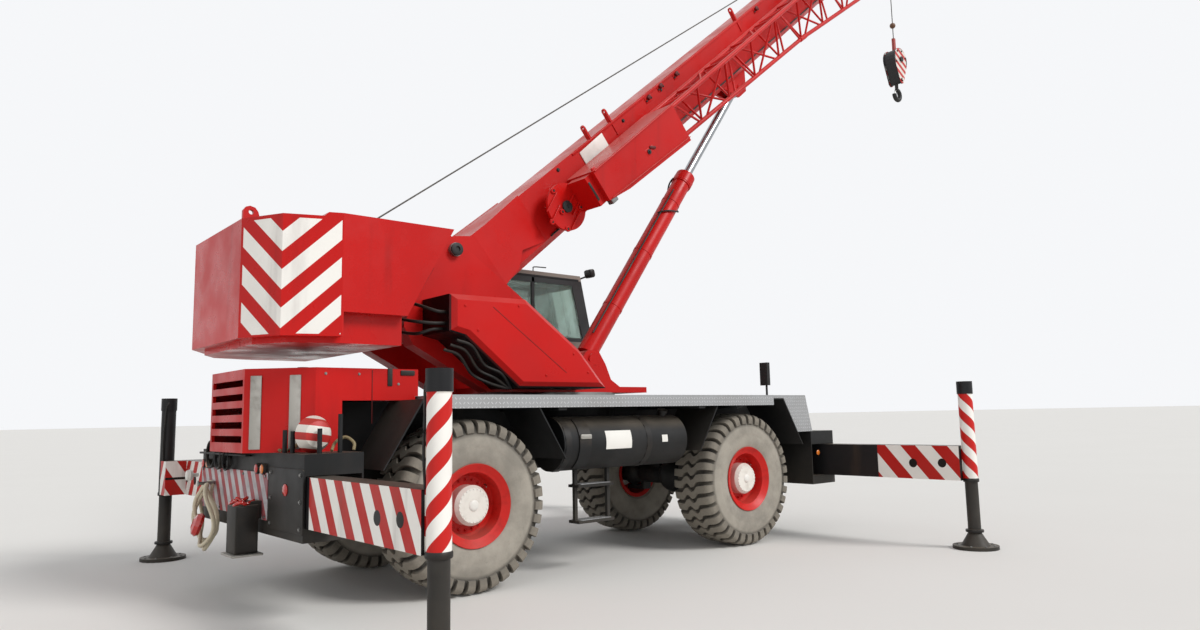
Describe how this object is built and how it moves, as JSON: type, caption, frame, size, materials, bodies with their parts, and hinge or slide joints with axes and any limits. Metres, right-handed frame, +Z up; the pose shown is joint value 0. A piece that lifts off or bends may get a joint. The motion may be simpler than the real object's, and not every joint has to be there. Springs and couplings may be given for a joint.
{
  "type": "rough-terrain mobile crane",
  "caption": "Two-axle rough-terrain crane with a telescopic boom, a stowed lattice jib, a cab beside the boom and outriggers set down on their feet.",
  "frame": {"origin": "on the ground below the middle of the crane's bounding box", "axes": "+X forward along the boom, +Y to the crane's left, +Z up"},
  "size_m": [13.1996, 7.38, 12.0655],
  "materials": {
    "red_paint": "satin, worn",
    "black_paint": "satin",
    "beige_paint": "satin",
    "checker_plate": "raised bars",
    "grey_steel": "worn",
    "chrome_rod": "polished",
    "cast_black": "rough",
    "tyre_rubber": "dusty",
    "cab_glazing": "tinted",
    "seat_vinyl": "matt",
    "console_plastic": "matt",
    "striped_paint": "satin, red and white"
  },
  "bodies": {
    "carrier": {"chassis_frame": "black_paint", "rear_outrigger_box": "black_paint", "front_outrigger_box": "black_paint", "deck": "checker_plate", "turntable_ring": "grey_steel", "engine_hood": "red_paint", "engine_block": "cast_black", "fenders": "black_paint", "fuel_tank": "black_paint", "hydraulic_tank": "black_paint", "side_steps": "black_paint", "front_platform": "checker_plate", "rear_axle": "cast_black", "front_axle": "cast_black", "rear_stakes": "black_paint", "overhaul_ball": "striped_paint", "mirror": "black_paint", "headlamps": "black_paint"},
    "superstructure": {"turret_frame": "red_paint", "counterweight": "red_paint", "main_hoist_drum": "grey_steel", "auxiliary_hoist_drum": "grey_steel", "valve_housing": "red_paint", "cab_shell": "beige_paint", "cab_glass": "cab_glazing", "operator_seat": "seat_vinyl", "cab_console": "console_plastic", "boom_foot_pin": "grey_steel"},
    "cab_door": {"cab_door": "beige_paint"},
    "boom_base": {"boom_base": "red_paint", "jib_mount": "red_paint", "stowed_jib": "red_paint"},
    "boom_section_1": {"boom_section_1": "red_paint"},
    "boom_section_2": {"boom_section_2": "red_paint"},
    "boom_fly": {"boom_fly": "red_paint", "head_sheaves": "cast_black"},
    "lift_rod": {"lift_rod": "chrome_rod"},
    "lift_barrel": {"lift_barrel": "red_paint"},
    "hook_block": {"hook_block": "black_paint"},
    "hook": {"hook": "cast_black"},
    "rear_right_outrigger": {"rear_right_beam": "striped_paint"},
    "rear_right_jack": {"rear_right_jack": "grey_steel"},
    "rear_right_knuckle": {"rear_right_knuckle": "cast_black"},
    "rear_right_wheel": {"rear_right_tyre": "tyre_rubber", "rear_right_rim": "red_paint"},
    "rear_left_outrigger": {"rear_left_beam": "striped_paint"},
    "rear_left_jack": {"rear_left_jack": "grey_steel"},
    "rear_left_knuckle": {"rear_left_knuckle": "cast_black"},
    "rear_left_wheel": {"rear_left_tyre": "tyre_rubber", "rear_left_rim": "red_paint"},
    "front_right_outrigger": {"front_right_beam": "striped_paint"},
    "front_right_jack": {"front_right_jack": "grey_steel"},
    "front_right_knuckle": {"front_right_knuckle": "cast_black"},
    "front_right_wheel": {"front_right_tyre": "tyre_rubber", "front_right_rim": "red_paint"},
    "front_left_outrigger": {"front_left_beam": "striped_paint"},
    "front_left_jack": {"front_left_jack": "grey_steel"},
    "front_left_knuckle": {"front_left_knuckle": "cast_black"},
    "front_left_wheel": {"front_left_tyre": "tyre_rubber", "front_left_rim": "red_paint"}
  },
  "joints": [
    {"name": "slew", "type": "hinge", "parent": "carrier", "child": "superstructure", "pos_m": [-2.48002, 0, 1.962], "axis": [0, 0, 1], "continuous": true},
    {"name": "cab_door_hinge", "type": "hinge", "parent": "superstructure", "child": "cab_door", "pos_m": [-3.04002, 1.4425, 2.785], "axis": [0, 0, 1], "range_deg": [0, 85]},
    {"name": "boom_luff", "type": "hinge", "parent": "superstructure", "child": "boom_base", "pos_m": [-4.35002, 0, 3.49], "axis": [0, -1, 0], "range_deg": [-43, 36]},
    {"name": "boom_extend_1", "type": "slide", "parent": "boom_base", "child": "boom_section_1", "axis": [0.766, 0, 0.6428], "range_m": [-0.68, 6.4]},
    {"name": "boom_extend_2", "type": "slide", "parent": "boom_section_1", "child": "boom_section_2", "axis": [0.766, 0, 0.6428], "range_m": [-0.68, 6.4]},
    {"name": "boom_extend_3", "type": "slide", "parent": "boom_section_2", "child": "boom_fly", "axis": [0.766, 0, 0.6428], "range_m": [-0.68, 6.4]},
    {"name": "lift_rod_pivot", "type": "hinge", "parent": "boom_base", "child": "lift_rod", "pos_m": [1.17617, 0, 6.86078], "axis": [0, -1, 0], "range_deg": [-14, 12]},
    {"name": "lift_stroke", "type": "slide", "parent": "lift_rod", "child": "lift_barrel", "axis": [-0.5896, 0, -0.8077], "range_m": [-1.46, 1.23]},
    {"name": "hook_block_hang", "type": "hinge", "parent": "boom_fly", "child": "hook_block", "pos_m": [6.18072, 0, 11.89555], "axis": [0, -1, 0], "range_deg": [-40, 45]},
    {"name": "hook_swivel", "type": "hinge", "parent": "hook_block", "child": "hook", "pos_m": [6.36002, 0, 8.26555], "axis": [0, 0, 1], "continuous": true},
    {"name": "rear_right_beam_slide", "type": "slide", "parent": "carrier", "child": "rear_right_outrigger", "axis": [0, 1, 0], "range_m": [0, 1.85]},
    {"name": "rear_right_jack_slide", "type": "slide", "parent": "rear_right_outrigger", "child": "rear_right_jack", "axis": [0, 0, 1], "range_m": [-0.25, 0.33]},
    {"name": "rear_right_steer", "type": "hinge", "parent": "carrier", "child": "rear_right_knuckle", "pos_m": [-4.53002, -0.85, 0.84], "axis": [0, 0, 1], "range_deg": [-25, 25]},
    {"name": "rear_right_wheel_spin", "type": "hinge", "parent": "rear_right_knuckle", "child": "rear_right_wheel", "pos_m": [-4.53002, -1.03, 0.84], "axis": [0, 1, 0], "continuous": true},
    {"name": "rear_left_beam_slide", "type": "slide", "parent": "carrier", "child": "rear_left_outrigger", "axis": [0, -1, 0], "range_m": [0, 1.85]},
    {"name": "rear_left_jack_slide", "type": "slide", "parent": "rear_left_outrigger", "child": "rear_left_jack", "axis": [0, 0, 1], "range_m": [-0.25, 0.33]},
    {"name": "rear_left_steer", "type": "hinge", "parent": "carrier", "child": "rear_left_knuckle", "pos_m": [-4.53002, 0.85, 0.84], "axis": [0, 0, 1], "range_deg": [-25, 25]},
    {"name": "rear_left_wheel_spin", "type": "hinge", "parent": "rear_left_knuckle", "child": "rear_left_wheel", "pos_m": [-4.53002, 1.03, 0.84], "axis": [0, 1, 0], "continuous": true},
    {"name": "front_right_beam_slide", "type": "slide", "parent": "carrier", "child": "front_right_outrigger", "axis": [0, 1, 0], "range_m": [0, 1.85]},
    {"name": "front_right_jack_slide", "type": "slide", "parent": "front_right_outrigger", "child": "front_right_jack", "axis": [0, 0, 1], "range_m": [-0.25, 0.33]},
    {"name": "front_right_steer", "type": "hinge", "parent": "carrier", "child": "front_right_knuckle", "pos_m": [-0.43002, -0.85, 0.84], "axis": [0, 0, 1], "range_deg": [-25, 25]},
    {"name": "front_right_wheel_spin", "type": "hinge", "parent": "front_right_knuckle", "child": "front_right_wheel", "pos_m": [-0.43002, -1.03, 0.84], "axis": [0, 1, 0], "continuous": true},
    {"name": "front_left_beam_slide", "type": "slide", "parent": "carrier", "child": "front_left_outrigger", "axis": [0, -1, 0], "range_m": [0, 1.85]},
    {"name": "front_left_jack_slide", "type": "slide", "parent": "front_left_outrigger", "child": "front_left_jack", "axis": [0, 0, 1], "range_m": [-0.25, 0.33]},
    {"name": "front_left_steer", "type": "hinge", "parent": "carrier", "child": "front_left_knuckle", "pos_m": [-0.43002, 0.85, 0.84], "axis": [0, 0, 1], "range_deg": [-25, 25]},
    {"name": "front_left_wheel_spin", "type": "hinge", "parent": "front_left_knuckle", "child": "front_left_wheel", "pos_m": [-0.43002, 1.03, 0.84], "axis": [0, 1, 0], "continuous": true}
  ],
  "couplings": [
    {"joint": "boom_extend_2", "follows": "boom_extend_1", "ratio": 1},
    {"joint": "boom_extend_3", "follows": "boom_extend_1", "ratio": 1},
    {"joint": "lift_rod_pivot", "follows": "boom_luff", "ratio": 0.323},
    {"joint": "lift_stroke", "follows": "boom_luff", "m_per_rad": 1.928},
    {"joint": "hook_block_hang", "follows": "boom_luff", "ratio": -1},
    {"joint": "rear_left_steer", "follows": "rear_right_steer", "ratio": 1},
    {"joint": "front_left_steer", "follows": "front_right_steer", "ratio": 1}
  ]
}
